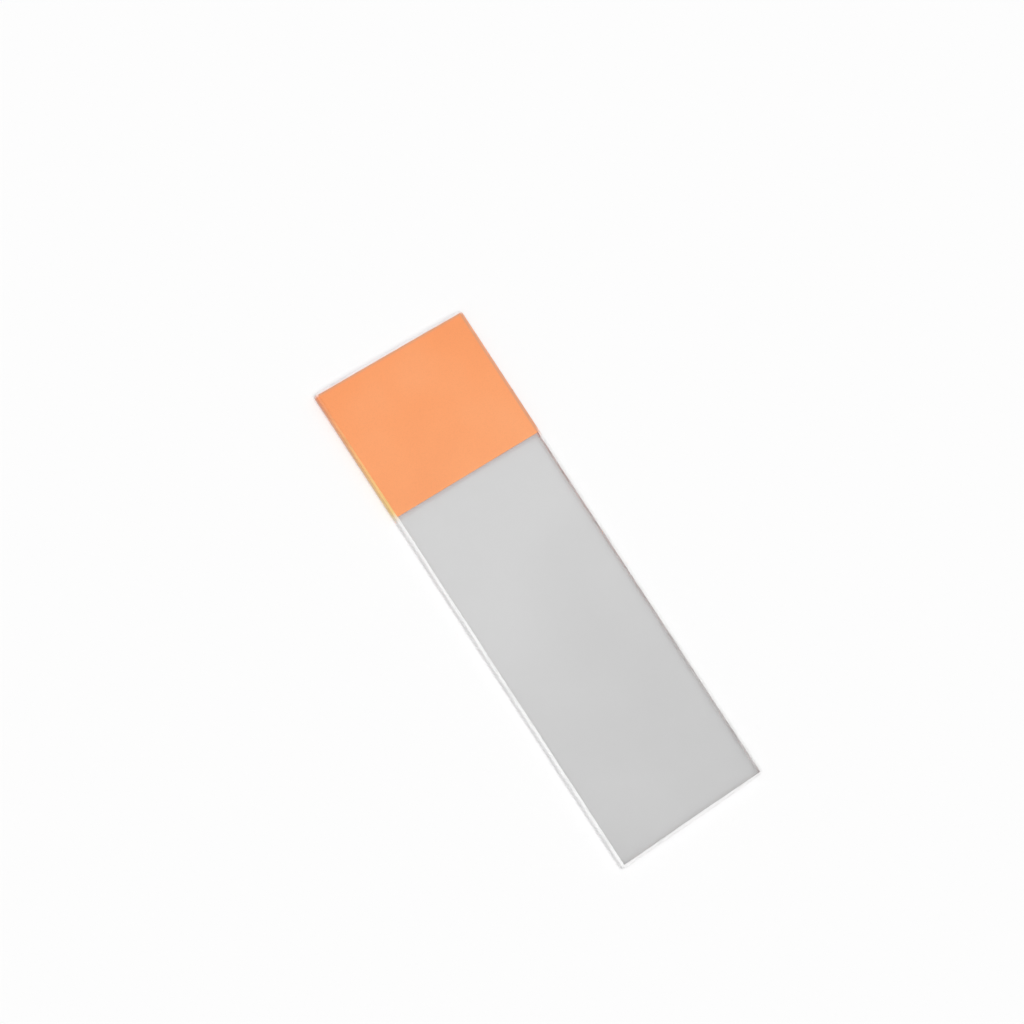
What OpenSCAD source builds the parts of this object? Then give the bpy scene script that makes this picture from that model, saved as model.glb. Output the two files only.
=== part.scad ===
// Microscope slide with a colour-coated marking end.
// Origin: centre of the underside. +X runs from the marking end to the clear
// end, +Y across the slide, +Z up through the thickness. Millimetres.

/* [Glass] */
// Length of the slide
slide_l = 76; // [50:0.1:120]
// Width of the slide
slide_w = 26; // [18:0.1:80]
// Thickness of the glass
slide_t = 1.0; // [0.8:0.05:2]

/* [Ground edges] */
// Width of the low bevel that seams every edge, seen from above
bevel_w = 0.35; // [0.05:0.01:0.45]
// Height of that bevel, seen from the side
bevel_h = 0.12; // [0.05:0.01:0.3]
// Radius of the dubbed corners, seen from above
corner_r = 0.5; // [0.5:0.05:3]

/* [Marking end] */
// Length of the marking end, from the end of the glass to where the colour stops
marking_l = 20; // [10:0.5:40]
// Depth that the frosting takes off the upper face under the coat
frost_d = 0.01; // [0.005:0.005:0.05]
// Thickness of the printed coat
coat_t = 0.04; // [0.02:0.005:0.1]
// Bare glass left between the bevel and the coat
coat_border = 0.05; // [0.02:0.01:0.3]
// Tightest corner that the printing screen can lay
least_coat_r = 0.05; // [0.02:0.01:0.2]

/* [Hidden] */

$fn = 48;
overrun = 1;                                     // how far a cutter runs past what it cuts
frost_z = slide_t - frost_d;                     // height of the frosted seat
marking_x = marking_l - slide_l / 2;             // where the colour stops
coat_inset = bevel_w + coat_border;              // from the outline to the coat
coat_l = marking_l - coat_inset;
coat_w = slide_w - 2 * coat_inset;
coat_r = max(corner_r - coat_inset, least_coat_r);

// Half of the section through a seamed edge, from the underside to the upper
// face, for an edge that lies at reach.
function seamed_edge(reach) = [
    [reach - bevel_w, 0],
    [reach, bevel_h],
    [reach, slide_t - bevel_h],
    [reach - bevel_w, slide_t]
];

// A bar with both of its sides seamed, lying along X.
module seamed_bar(length, width) {
    rotate([90, 0, 90])
        linear_extrude(length, center = true)
            for (side = [0, 1])
                mirror([side, 0])
                    polygon(concat([[0, 0]], seamed_edge(width / 2), [[0, slide_t]]));
}

// The blank is two crossing bars with a turned post in each corner, so the
// bevel runs round the dubbed corners without a break.
module ground_blank() {
    seamed_bar(slide_l - 2 * corner_r, slide_w);
    rotate(90)
        seamed_bar(slide_w - 2 * corner_r, slide_l);
    for (x = [-1, 1], y = [-1, 1])
        translate([x * (slide_l / 2 - corner_r), y * (slide_w / 2 - corner_r), 0])
            rotate_extrude()
                polygon(concat([[0, 0]], seamed_edge(corner_r), [[0, slide_t]]));
}

// The frosted band, which runs off the glass on three sides.
module frosting() {
    translate([-slide_l / 2 - overrun, -slide_w / 2 - overrun, frost_z])
        cube([marking_l + overrun, slide_w + 2 * overrun, frost_d + overrun]);
}

module glass_plate() {
    color([0.80, 0.82, 0.82, 0.45])
        difference() {
            ground_blank();
            frosting();
        }
}

module round_cornered(length, width, radius) {
    square([length, width - 2 * radius], center = true);
    square([length - 2 * radius, width], center = true);
    for (x = [-1, 1], y = [-1, 1])
        translate([x * (length / 2 - radius), y * (width / 2 - radius)])
            circle(radius);
}

// The coat lies on the frosted band and stands a little proud of the glass.
module marking_coat() {
    color([0.99, 0.64, 0.43])
        translate([marking_x - coat_l / 2, 0, frost_z])
            linear_extrude(coat_t)
                round_cornered(coat_l, coat_w, coat_r);
}

glass_plate();
marking_coat();
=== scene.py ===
"""A microscope slide with a colour-coated marking end, lying on the pale floor of a light tent."""

import math

import bmesh
import bpy
from mathutils import Matrix, Vector, noise


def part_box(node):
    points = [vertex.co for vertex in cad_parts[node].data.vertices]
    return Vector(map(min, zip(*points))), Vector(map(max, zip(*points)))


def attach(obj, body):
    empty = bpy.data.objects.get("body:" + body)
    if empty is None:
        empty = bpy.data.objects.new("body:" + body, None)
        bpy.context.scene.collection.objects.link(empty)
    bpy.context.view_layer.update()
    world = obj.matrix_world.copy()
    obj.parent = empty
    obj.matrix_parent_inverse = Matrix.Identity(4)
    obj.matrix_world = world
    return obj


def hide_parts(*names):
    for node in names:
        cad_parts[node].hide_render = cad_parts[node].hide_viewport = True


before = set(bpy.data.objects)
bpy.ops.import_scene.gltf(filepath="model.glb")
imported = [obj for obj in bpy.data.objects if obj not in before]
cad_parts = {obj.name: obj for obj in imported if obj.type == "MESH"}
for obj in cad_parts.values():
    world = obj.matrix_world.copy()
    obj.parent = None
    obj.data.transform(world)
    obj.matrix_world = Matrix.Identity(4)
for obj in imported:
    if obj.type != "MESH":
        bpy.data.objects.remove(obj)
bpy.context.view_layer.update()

# Lengths are in metres
MM = 0.001
UP = Vector((0, 0, 1))

glass_low, glass_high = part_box("glass_plate")
coat_low, coat_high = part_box("marking_coat")


# ---------------------------------------------------------------- Camera

# The camera stands this far from the point it looks at, and its lens is long, in millimetres
CAMERA_DISTANCE = 511.6 * MM
CAMERA_LENS = 132.07
# Its direction from the object, in degrees: 0 is straight in front of the long near edge
CAMERA_AZIMUTH = 5.88
CAMERA_ELEVATION = 61.58
# Turned about its own axis, so that the slide runs slantwise from the top left
CAMERA_ROLL = -51.71
# It looks past the middle of the upper face, towards the marking end
LOOK_ALONG = -10.51 * MM
LOOK_ACROSS = 2.38 * MM


def set_camera():
    azimuth, elevation, roll = map(math.radians, (CAMERA_AZIMUTH, CAMERA_ELEVATION, CAMERA_ROLL))
    level = math.cos(elevation)
    back = Vector((math.sin(azimuth) * level, -math.cos(azimuth) * level, math.sin(elevation)))
    sideways = UP.cross(back).normalized()
    upwards = back.cross(sideways) * math.cos(roll) + sideways * math.sin(roll)
    middle = (glass_low + glass_high) / 2
    look_at = Vector((middle.x + LOOK_ALONG, middle.y + LOOK_ACROSS, glass_high.z))
    camera = bpy.data.objects.new("camera", bpy.data.cameras.new("camera"))
    camera.data.lens = CAMERA_LENS
    turned = Matrix((upwards.cross(back), upwards, back)).transposed().to_4x4()
    camera.matrix_world = Matrix.Translation(look_at + back * CAMERA_DISTANCE) @ turned
    bpy.context.scene.collection.objects.link(camera)
    bpy.context.scene.camera = camera


# ---------------------------------------------------------------- Tools for materials and meshes

# Sockets of a Mix node for colours: the share of the second colour, the two colours, and the result
SHARE, FIRST, SECOND = 0, 6, 7
MIXED = 2
# A noise texture stays mostly between the first and the last of these
NOISE_LOW, NOISE_MIDDLE, NOISE_HIGH = 0.3, 0.5, 0.7


def linear(hex_colour):
    """An sRGB hex colour, such as "ff8040", as linear RGBA."""
    channels = [int(hex_colour[i:i + 2], 16) / 255 for i in (0, 2, 4)]
    return [c / 12.92 if c <= 0.04045 else ((c + 0.055) / 1.055) ** 2.4 for c in channels] + [1.0]


def add(tree, kind, inputs=None, **settings):
    """Adds a shader node. Each input is a value, or another node's output to link to."""
    node = tree.nodes.new("ShaderNode" + kind)
    for name, value in settings.items():
        setattr(node, name, value)
    for socket, value in (inputs or {}).items():
        if isinstance(value, bpy.types.NodeSocket):
            tree.links.new(value, node.inputs[socket])
        else:
            node.inputs[socket].default_value = value
    return node


def new_material(name):
    material = bpy.data.materials.new(name)
    material.use_nodes = True
    material.node_tree.nodes.clear()
    return material, material.node_tree


def new_piece(name, mesh, materials):
    """Makes an object of a finished bmesh."""
    bmesh.ops.recalc_face_normals(mesh, faces=mesh.faces)
    data = bpy.data.meshes.new(name)
    mesh.to_mesh(data)
    mesh.free()
    for material in materials:
        data.materials.append(material)
    piece = bpy.data.objects.new(name, data)
    bpy.context.scene.collection.objects.link(piece)
    return piece


# ---------------------------------------------------------------- Studio

WHITE = [1.0] * 4
# Strength of the tent all round, and what its bright patch adds at its middle: a level surface gets 1
TENT_FILL = 0.5
TENT_PATCH = 3.0
# The patch is overhead, a little to the front and the clear end; a higher focus makes it smaller
PATCH_DIRECTION = Vector((0.08, -0.18, 1.0)).normalized()
PATCH_FOCUS = 10.0
# The floor is card. For the camera and in the glass it has a little light of its own, which lifts
# it to white and keeps the object's shadow
FLOOR_SIZE = 3.0
FLOOR_REFLECTANCE = 0.8
FLOOR_LIFT = 0.19
# Film of air that stays under a slide on card
AIR_FILM = 0.06 * MM


def seen_ray(tree):
    """1 for rays that make a picture, straight or through and off glass, and 0 for the rest."""
    path = add(tree, "LightPath")
    either = add(tree, "Math", {0: path.outputs["Is Camera Ray"], 1: path.outputs["Is Glossy Ray"]},
                 operation="MAXIMUM")
    return add(tree, "Math", {0: either.outputs[0], 1: path.outputs["Is Transmission Ray"]},
               operation="MAXIMUM").outputs[0]


def light_tent():
    """A white tent, brightest overhead, that shows as plain white wherever it is seen."""
    world = bpy.data.worlds.new("tent")
    world.use_nodes = True
    bpy.context.scene.world = world
    tree = world.node_tree
    tree.nodes.clear()
    where = add(tree, "TexCoord")
    facing = add(tree, "VectorMath", {0: where.outputs["Generated"], 1: PATCH_DIRECTION},
                 operation="DOT_PRODUCT")
    towards = add(tree, "Math", {0: facing.outputs["Value"], 1: 0.0}, operation="MAXIMUM")
    patch = add(tree, "Math", {0: towards.outputs[0], 1: PATCH_FOCUS}, operation="POWER")
    light = add(tree, "Math", {0: patch.outputs[0], 1: TENT_PATCH, 2: TENT_FILL},
                operation="MULTIPLY_ADD")
    lit = add(tree, "Background", {"Color": WHITE, "Strength": light.outputs[0]})
    plain = add(tree, "Background", {"Color": WHITE, "Strength": 1.0})
    shown = add(tree, "MixShader", {0: seen_ray(tree), 1: lit.outputs[0], 2: plain.outputs[0]})
    add(tree, "OutputWorld", {"Surface": shown.outputs[0]})


def lay_floor():
    material, tree = new_material("white_card")
    card = add(tree, "BsdfDiffuse", {"Color": [FLOOR_REFLECTANCE] * 3 + [1.0]})
    strength = add(tree, "Math", {0: seen_ray(tree), 1: FLOOR_LIFT}, operation="MULTIPLY")
    lift = add(tree, "Emission", {"Color": WHITE, "Strength": strength.outputs[0]})
    both = add(tree, "AddShader", {0: card.outputs[0], 1: lift.outputs[0]})
    add(tree, "OutputMaterial", {"Surface": both.outputs[0]})
    mesh = bmesh.new()
    bmesh.ops.create_grid(mesh, x_segments=1, y_segments=1, size=FLOOR_SIZE / 2)
    floor = new_piece("floor", mesh, [material])
    floor.location.z = glass_low.z - AIR_FILM


# ---------------------------------------------------------------- Outlines and sections

# Points round each corner of an outline
CORNER_STEPS = 8
# Each of these picks a random pattern of its own, for one thing that strays
UPPER_BEVEL, LOWER_BEVEL, EDGE_FLAT = 1.5, 2.5, 3.5
PRINT_THREADS, PRINT_WAVES, INK_SWELL = 4.5, 5.5, 6.5


def outline(half_length, half_width, radius, step):
    """Points a step apart round a rectangle with round corners, each with the direction out of it."""
    points = []
    for side in range(4):
        turn = side * math.pi / 2
        along = Vector((math.cos(turn), math.sin(turn)))
        out = Vector((math.sin(turn), -math.cos(turn)))
        reach, stand = (half_length, half_width) if side % 2 == 0 else (half_width, half_length)
        straight = reach - radius
        count = round(2 * straight / step)
        for k in range(count):
            points.append((out * stand + along * straight * (2 * k / count - 1), out))
        for k in range(CORNER_STEPS):
            swing = math.pi / 2 * k / CORNER_STEPS
            facing = out * math.cos(swing) + along * math.sin(swing)
            points.append((out * (stand - radius) + along * straight + facing * radius, facing))
    return points


def rounded(section, reach):
    """A section with each corner between its ends rounded by three points, over this reach each way."""
    points = [section[0]]
    for before, corner, after in zip(section, section[1:], section[2:]):
        start = corner + (before - corner).normalized() * reach
        end = corner + (after - corner).normalized() * reach
        points += [start, (start + 2 * corner + end) / 4, end]
    return points + [section[-1]]


def wander(place, scale, pattern):
    """A smooth random number from about -1 to 1 that changes over distances of this scale."""
    return noise.noise(Vector((place.x / scale, place.y / scale, pattern)))


def skin(mesh, rings):
    """Joins each ring of points to the next one with a band of faces, and returns the rings' vertices."""
    made = [[mesh.verts.new(point) for point in ring] for ring in rings]
    for upper, lower in zip(made, made[1:]):
        for k in range(len(upper)):
            face = mesh.faces.new((upper[k - 1], lower[k - 1], lower[k], upper[k]))
            face.smooth = True
    return made


# ---------------------------------------------------------------- The glass

# The belt's low bevels, seen from above and from the side, the dubbed corners, and the wear of the arrises
BEVEL_WIDTH = 0.35 * MM
BEVEL_HEIGHT = 0.12 * MM
CORNER_RADIUS = 0.5 * MM
ARRIS = 0.03 * MM
# Share of the bevel's size that strays, over a slow swing of the hand and over the grit's own nicks
BEVEL_SWING = 0.13
SWING_SCALE = 7 * MM
BEVEL_NICK = 0.06
NICK_SCALE = 0.35 * MM
# How deep the belt has left waves in the flat of the edge
EDGE_WAVE = 0.008 * MM
WAVE_SCALE = 1.6 * MM
EDGE_STEP = 0.1 * MM
# Depth of the frosted band under the ink, and the width of the step to it
FROST_DEPTH = glass_high.z - coat_low.z
FROST_STEP = 0.01 * MM
# A point this near a cut is on it, and a face whose normal is this upright is level
ON_CUT = 0.0001 * MM
UPRIGHT = 0.9999
# Material slots of the glass
POLISHED, GROUND, SOAKED = 0, 1, 2


def ground_edge(point, out):
    """One section through the ground edge, from the upper face down to the lower one."""
    upper, lower = (
        1 + BEVEL_SWING * wander(point, SWING_SCALE, bevel) + BEVEL_NICK * wander(point, NICK_SCALE, bevel)
        for bevel in (UPPER_BEVEL, LOWER_BEVEL)
    )
    back = EDGE_WAVE * (0.5 + 0.5 * wander(point, WAVE_SCALE, EDGE_FLAT))
    top, bottom = glass_high.z, glass_low.z
    corners = [
        (BEVEL_WIDTH * upper + 2 * ARRIS, top),
        (BEVEL_WIDTH * upper, top),
        (back, top - BEVEL_HEIGHT * upper),
        (back, bottom + BEVEL_HEIGHT * lower),
        (BEVEL_WIDTH * lower, bottom),
        (BEVEL_WIDTH * lower + 2 * ARRIS, bottom),
    ]
    for inset, height in rounded([Vector(corner) for corner in corners], ARRIS):
        place = point - out * inset
        yield Vector((place.x, place.y, height))


def cut_frosted_band(mesh):
    """Lowers the upper face at the marking end, where it was blasted or etched to hold the ink."""
    edge = coat_high.x
    for x in (edge, edge - FROST_STEP):
        everything = mesh.verts[:] + mesh.edges[:] + mesh.faces[:]
        bmesh.ops.bisect_plane(mesh, geom=everything, dist=ON_CUT, plane_co=(x, 0, 0), plane_no=(1, 0, 0))
    for vertex in mesh.verts:
        if vertex.co.x < edge - FROST_STEP / 2:
            vertex.co.z = min(vertex.co.z, glass_high.z - FROST_DEPTH)


def make_glass(polished, ground, ink):
    """The pane. Ink soaks the frosting under the print, so that it shows from below too."""
    mesh = bmesh.new()
    half = (glass_high - glass_low) / 2
    sections = [list(ground_edge(*place)) for place in outline(half.x, half.y, CORNER_RADIUS, EDGE_STEP)]
    rings = skin(mesh, zip(*sections))
    for ring in (rings[0], rings[-1]):
        mesh.faces.new(ring)
    cut_frosted_band(mesh)
    bmesh.ops.triangulate(mesh, faces=mesh.faces)
    mesh.normal_update()
    mid_height = (glass_low.z + glass_high.z) / 2
    for face in mesh.faces:
        centre = face.calc_center_median()
        if abs(face.normal.z) <= UPRIGHT:
            face.material_index = GROUND
        elif centre.x < coat_high.x and centre.z > mid_height:
            face.material_index = SOAKED
        else:
            face.material_index = POLISHED
    glass = new_piece("glass", mesh, [polished, ground, ink])
    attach(glass, "root")
    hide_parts("glass_plate")


# ---------------------------------------------------------------- The coat

COAT_CORNER = 0.2 * MM
COAT_STEP = 0.2 * MM
# The ink grips the frosting's tooth, so its underside lies this deep in the glass
COAT_GRIP = 0.005 * MM
# The print's outline strays inward by up to this much, over the pitch of the screen's threads and over
# longer waves
PRINT_STRAY = 0.02 * MM
THREAD_PITCH = 0.3 * MM
LONG_WAVE = 2.4 * MM
# The ink's own surface: a low ridge round the print, and a drop from it to a level field with a slight
# swell, which starts this many steps in
RIDGE_DROP = 0.004 * MM
SWELL = 0.0015 * MM
SWELL_SCALE = 1.1 * MM
FIELD_START = 2


def ink_edge():
    """The section of the print's edge, as insets and heights above the frosted glass."""
    thick = coat_high.z - coat_low.z
    shoulder = [(0, 0), (0, 0.35), (0.012, 0.62), (0.035, 0.84), (0.07, 0.96), (0.12, 1.0), (0.17, 0.99)]
    for inset, share in shoulder:
        yield inset * MM, thick * share


def make_coat(ink):
    """The print, as rings that run up its edge and then in over its field."""
    mesh = bmesh.new()
    half = (coat_high - coat_low) / 2
    middle = (coat_high + coat_low) / 2
    base, top = coat_low.z, coat_high.z
    places = outline(half.x, half.y, COAT_CORNER, COAT_STEP)
    strays = [
        PRINT_STRAY * (0.5 + 0.3 * wander(point, THREAD_PITCH, PRINT_THREADS)
                       + 0.2 * wander(point, LONG_WAVE, PRINT_WAVES))
        for point, _ in places
    ]
    rings = [[(point - out * stray, base - COAT_GRIP) for (point, out), stray in zip(places, strays)]]
    for inset, height in ink_edge():
        # The straying dies away inwards, so that the points of a corner stay short of its middle
        rings.append([
            (point - out * (stray + inset * (1 - stray / COAT_CORNER)), base + height)
            for (point, out), stray in zip(places, strays)
        ])
    field = top - RIDGE_DROP
    for k in range(FIELD_START, int(half.x / COAT_STEP)):
        inset = k * COAT_STEP
        shrink = Vector(((half.x - inset) / half.x, (half.y - inset) / half.y))
        ring = []
        for point, _ in places:
            place = point * shrink
            ring.append((place, field - SWELL + SWELL * wander(place, SWELL_SCALE, INK_SWELL)))
        rings.append(ring)
    made = skin(mesh, [[Vector((p.x + middle.x, p.y + middle.y, z)) for p, z in ring] for ring in rings])
    for ring in (made[0], made[-1]):
        mesh.faces.new(ring)
    bmesh.ops.triangulate(mesh, faces=[face for face in mesh.faces if len(face.verts) > 4])
    coat = new_piece("marking_ink", mesh, [ink])
    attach(coat, "root")
    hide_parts("marking_coat")


# ---------------------------------------------------------------- Float glass

# Soda-lime glass
GLASS_IOR = 1.52
CLEAR_GLASS = linear("fbfbfb")
# Painted shade: a grey for the darker ground seen through the glass, which itself is nearly clear. It is
# deepest at the clear end, and strays slowly over the glass as set below
PAINTED_SHADE_GREY = linear("bebebe")
PALE_PAINTED_SHADE_GREY = linear("d0d0d0")
SHADE_SWAY_LENGTH = 22 * MM
SHADE_SWAY_SHARE = 0.35
# The grey reaches this far in under the ink, past all that can be seen there from above, and then fades
UNDER_INK = 1.0 * MM
GREY_FADE = 5.0 * MM
# The film that washing leaves, in soft blots
FILM_BLOT = 9 * MM
FILM_ROUGHNESS = 0.03


def float_glass():
    """Soda-lime float glass, fire polished: clear, level and glossy. Its lower side carries painted shade,
    a grey for the darker ground seen through it, which fades out under the ink, so that the light inside
    reaches the edges white."""
    material, tree = new_material("float_glass")
    place = add(tree, "TexCoord").outputs["Object"]
    axes = add(tree, "SeparateXYZ", {0: place})
    length, height = axes.outputs["X"], axes.outputs["Z"]
    # Painted shade: a grey in the lower side for the darker ground seen through the glass, deepest at the
    # clear end and straying slowly
    shade_sway_noise = add(tree, "TexNoise", {"Vector": place, "Scale": 1 / SHADE_SWAY_LENGTH, "Detail": 1.0})
    sway = add(tree, "MapRange", {"Value": shade_sway_noise.outputs["Fac"], "From Min": NOISE_LOW,
                                  "From Max": NOISE_HIGH, "To Max": SHADE_SWAY_SHARE})
    near_ink = add(tree, "MapRange", {"Value": length, "From Min": coat_high.x, "From Max": glass_high.x,
                                      "To Min": 1.0, "To Max": 0.0})
    pale = add(tree, "Math", {0: sway.outputs["Result"], 1: near_ink.outputs["Result"]}, operation="ADD")
    grey = add(tree, "Mix", {SHARE: pale.outputs[0], FIRST: PAINTED_SHADE_GREY, SECOND: PALE_PAINTED_SHADE_GREY},
               data_type="RGBA")
    upper = add(tree, "Math", {0: height, 1: (glass_low.z + glass_high.z) / 2}, operation="GREATER_THAN")
    inked = add(tree, "MapRange", {"Value": length, "From Min": coat_high.x - UNDER_INK,
                                   "From Max": coat_high.x - UNDER_INK - GREY_FADE})
    clear = add(tree, "Math", {0: upper.outputs[0], 1: inked.outputs["Result"]}, operation="MAXIMUM")
    colour = add(tree, "Mix", {SHARE: clear.outputs[0], FIRST: grey.outputs[MIXED], SECOND: CLEAR_GLASS},
                 data_type="RGBA")
    blot = add(tree, "TexNoise", {"Vector": place, "Scale": 1 / FILM_BLOT, "Detail": 4.0})
    film = add(tree, "MapRange", {"Value": blot.outputs["Fac"], "From Min": NOISE_MIDDLE,
                                  "From Max": 0.8, "To Max": FILM_ROUGHNESS})
    shader = add(tree, "BsdfPrincipled", {"Base Color": colour.outputs[MIXED], "IOR": GLASS_IOR,
                                          "Roughness": film.outputs["Result"], "Transmission Weight": 1.0})
    add(tree, "OutputMaterial", {"Surface": shader.outputs[0]})
    return material


# ---------------------------------------------------------------- Ground glass

FROST_WHITE = linear("ffffff")
# Share of the light that passes through the frost instead of coming back from it
FROST_PASS = 0.12
# Painted glow: the ink's light that the glass carries to the frost beside it, painted into the frost's
# colour. On the front edge it turns yellow along the print
FRONT_GLOW_AT_END = linear("fa9f70")
FRONT_GLOW_AT_CLEAR = linear("ffdc90")
REAR_GLOW = linear("f4ae88")
# Share of white that the painted glow has gained at the foot of the edge
FOOT_PALING = 0.35
# The painted glow turns white over this much each side of the print's two ends
END_FADE = 0.25 * MM
GLOW_FADE = 1.0 * MM
# A 400 grit diamond belt leaves lines and pits a few hundredths of a millimetre across. The lines run on
# for millimetres and are drawn three times as coarse, and the pits twice
BELT_LINE = 0.09 * MM
BELT_RUN = 3.0 * MM
BELT_DEPTH = 0.001 * MM
LINE_SHADE = 0.85
GRIT_PIT = 0.06 * MM


def ground_glass():
    """The same glass where a diamond belt has ground it: a fine white frost, lined along the edge. The
    glow of the light
    inside is painted into its colour: orange beside the ink, and at the front yellow where that stops."""
    material, tree = new_material("ground_glass")
    place = add(tree, "TexCoord").outputs["Object"]
    axes = add(tree, "SeparateXYZ", {0: place})
    length, width, height = (axes.outputs[axis] for axis in "XYZ")
    # Painted glow: the light inside the glass, painted as orange and yellow into the frost beside the ink
    # and paler towards the foot
    along = add(tree, "MapRange", {"Value": length, "From Min": glass_low.x, "From Max": coat_high.x})
    front = add(tree, "Mix", {SHARE: along.outputs["Result"], FIRST: FRONT_GLOW_AT_END,
                              SECOND: FRONT_GLOW_AT_CLEAR}, data_type="RGBA")
    in_front = add(tree, "Math", {0: width, 1: 0.0}, operation="LESS_THAN")
    sides = add(tree, "Mix", {SHARE: in_front.outputs[0], FIRST: REAR_GLOW, SECOND: front.outputs[MIXED]},
                data_type="RGBA")
    down = add(tree, "MapRange", {"Value": height, "From Min": glass_high.z - BEVEL_HEIGHT,
                                  "From Max": glass_low.z, "To Max": FOOT_PALING})
    paled = add(tree, "Mix", {SHARE: down.outputs["Result"], FIRST: sides.outputs[MIXED],
                              SECOND: FROST_WHITE}, data_type="RGBA")
    round_end = add(tree, "MapRange", {"Value": length, "From Min": coat_low.x - END_FADE,
                                       "From Max": coat_low.x + END_FADE})
    glow = add(tree, "Mix", {SHARE: round_end.outputs["Result"], FIRST: FROST_WHITE,
                             SECOND: paled.outputs[MIXED]}, data_type="RGBA")
    beyond = add(tree, "MapRange", {"Value": length, "From Min": coat_high.x - GLOW_FADE,
                                    "From Max": coat_high.x + GLOW_FADE}, interpolation_type="SMOOTHSTEP")
    frost = add(tree, "Mix", {SHARE: beyond.outputs["Result"], FIRST: glow.outputs[MIXED],
                              SECOND: FROST_WHITE}, data_type="RGBA")
    across = add(tree, "Mapping", {"Vector": place, "Scale": (1 / BELT_RUN, 1 / BELT_RUN, 1 / BELT_LINE)})
    lines = add(tree, "TexNoise", {"Vector": across.outputs[0], "Scale": 1.0, "Detail": 2.0})
    worn = add(tree, "MapRange", {"Value": lines.outputs["Fac"], "From Min": NOISE_LOW,
                                  "From Max": NOISE_MIDDLE, "To Min": LINE_SHADE})
    colour = add(tree, "Mix", {SHARE: 1.0, FIRST: frost.outputs[MIXED], SECOND: worn.outputs["Result"]},
                 data_type="RGBA", blend_type="MULTIPLY")
    pits = add(tree, "TexNoise", {"Vector": place, "Scale": 1 / GRIT_PIT, "Detail": 2.0})
    relief = add(tree, "Math", {0: lines.outputs["Fac"], 1: pits.outputs["Fac"]}, operation="ADD")
    bump = add(tree, "Bump", {"Height": relief.outputs[0], "Strength": 1.0, "Distance": BELT_DEPTH})
    shader = add(tree, "BsdfPrincipled", {"Base Color": colour.outputs[MIXED], "Normal": bump.outputs[0],
                                          "IOR": GLASS_IOR, "Roughness": 1.0,
                                          "Transmission Weight": FROST_PASS})
    add(tree, "OutputMaterial", {"Surface": shader.outputs[0]})
    return material


# ---------------------------------------------------------------- Ink

# The ink is deeper towards the end of the slide, and slowly mottled
INK_AT_END = linear("fd9d60")
INK_AT_CLEAR = linear("fea56b")
INK_PALE = linear("ffb07c")
INK_DEEP = linear("f2935a")
MOTTLE_SIZE = 14 * MM
MOTTLE_SHARE = 0.25
# Painted shade: a dull line along the end and the rear edge of the print, for the shaded bevel of the
# glass beside it
INK_RIM_SHADE = linear("e2a07c")
RIM_SHADE_WIDTH = 0.3 * MM
# The tooth of the frosting shows through the ink, at 0.03 mm, drawn here four times as coarse
TOOTH_SIZE = 0.12 * MM
TOOTH_DEPTH = 0.003 * MM
TOOTH_SHADE = 0.95
# Roughness of the ink, from the hollows of the tooth to its tops
HOLLOW_ROUGHNESS = 0.54
TOP_ROUGHNESS = 0.68


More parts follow.
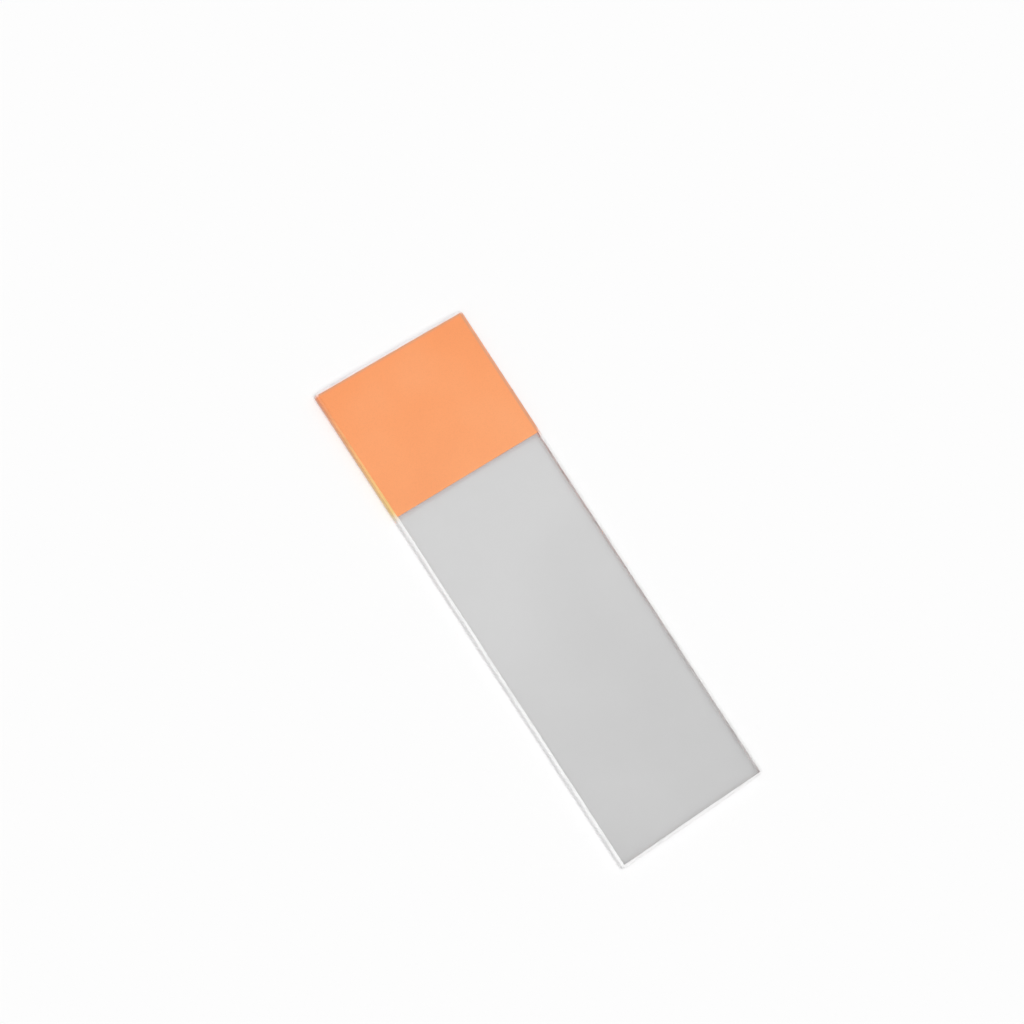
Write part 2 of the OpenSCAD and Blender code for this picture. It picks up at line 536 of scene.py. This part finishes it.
def screen_ink():
    """Epoxy ink, screen printed on the frosting and baked: an even, matt orange, slightly mottled, with
    the tooth of the frosting in its surface."""
    material, tree = new_material("screen_ink")
    place = add(tree, "TexCoord").outputs["Object"]
    axes = add(tree, "SeparateXYZ", {0: place})
    length, width = axes.outputs["X"], axes.outputs["Y"]
    along = add(tree, "MapRange", {"Value": length, "From Min": coat_low.x, "From Max": coat_high.x})
    laid = add(tree, "Mix", {SHARE: along.outputs["Result"], FIRST: INK_AT_END, SECOND: INK_AT_CLEAR},
               data_type="RGBA")
    mottle = add(tree, "TexNoise", {"Vector": place, "Scale": 1 / MOTTLE_SIZE, "Detail": 3.0})
    deep = add(tree, "MapRange", {"Value": mottle.outputs["Fac"], "From Min": NOISE_LOW,
                                  "From Max": NOISE_MIDDLE, "To Min": MOTTLE_SHARE, "To Max": 0.0})
    pale = add(tree, "MapRange", {"Value": mottle.outputs["Fac"], "From Min": NOISE_MIDDLE,
                                  "From Max": NOISE_HIGH, "To Max": MOTTLE_SHARE})
    darker = add(tree, "Mix", {SHARE: deep.outputs["Result"], FIRST: laid.outputs[MIXED],
                               SECOND: INK_DEEP}, data_type="RGBA")
    field = add(tree, "Mix", {SHARE: pale.outputs["Result"], FIRST: darker.outputs[MIXED],
                              SECOND: INK_PALE}, data_type="RGBA")
    # Painted shade: a dull rim along the end and the rear edge of the print
    from_rear = add(tree, "Math", {0: coat_high.y, 1: width}, operation="SUBTRACT")
    from_end = add(tree, "Math", {0: length, 1: coat_low.x}, operation="SUBTRACT")
    inset = add(tree, "Math", {0: from_rear.outputs[0], 1: from_end.outputs[0]}, operation="MINIMUM")
    rim_shade = add(tree, "MapRange", {"Value": inset.outputs[0], "From Max": RIM_SHADE_WIDTH,
                                  "To Min": 1.0, "To Max": 0.0})
    even = add(tree, "Mix", {SHARE: rim_shade.outputs["Result"], FIRST: field.outputs[MIXED],
                             SECOND: INK_RIM_SHADE}, data_type="RGBA")
    tooth = add(tree, "TexNoise", {"Vector": place, "Scale": 1 / TOOTH_SIZE, "Detail": 2.0})
    grain = add(tree, "MapRange", {"Value": tooth.outputs["Fac"], "From Min": NOISE_LOW,
                                   "From Max": 0.52, "To Min": TOOTH_SHADE})
    colour = add(tree, "Mix", {SHARE: 1.0, FIRST: even.outputs[MIXED], SECOND: grain.outputs["Result"]},
                 data_type="RGBA", blend_type="MULTIPLY")
    bump = add(tree, "Bump", {"Height": tooth.outputs["Fac"], "Strength": 1.0, "Distance": TOOTH_DEPTH})
    matt = add(tree, "MapRange", {"Value": tooth.outputs["Fac"], "To Min": HOLLOW_ROUGHNESS,
                                  "To Max": TOP_ROUGHNESS})
    shader = add(tree, "BsdfPrincipled", {"Base Color": colour.outputs[MIXED], "Normal": bump.outputs[0],
                                          "Roughness": matt.outputs["Result"]})
    add(tree, "OutputMaterial", {"Surface": shader.outputs[0]})
    return material


# ---------------------------------------------------------------- The scene

# Light runs to and fro inside the glass many times before it leaves through an edge
INNER_BOUNCES = 32
FROST_BOUNCES = 24
ALL_BOUNCES = 48

set_camera()
light_tent()
lay_floor()
ink = screen_ink()
make_glass(float_glass(), ground_glass(), ink)
make_coat(ink)

scene = bpy.context.scene
scene.view_settings.view_transform = "Standard"
scene.cycles.max_bounces = ALL_BOUNCES
scene.cycles.diffuse_bounces = FROST_BOUNCES
scene.cycles.glossy_bounces = INNER_BOUNCES
scene.cycles.transmission_bounces = INNER_BOUNCES
# Light that has met the frost still goes straight through the polished faces
scene.cycles.blur_glossy = 0.0

bpy.context.view_layer.update()
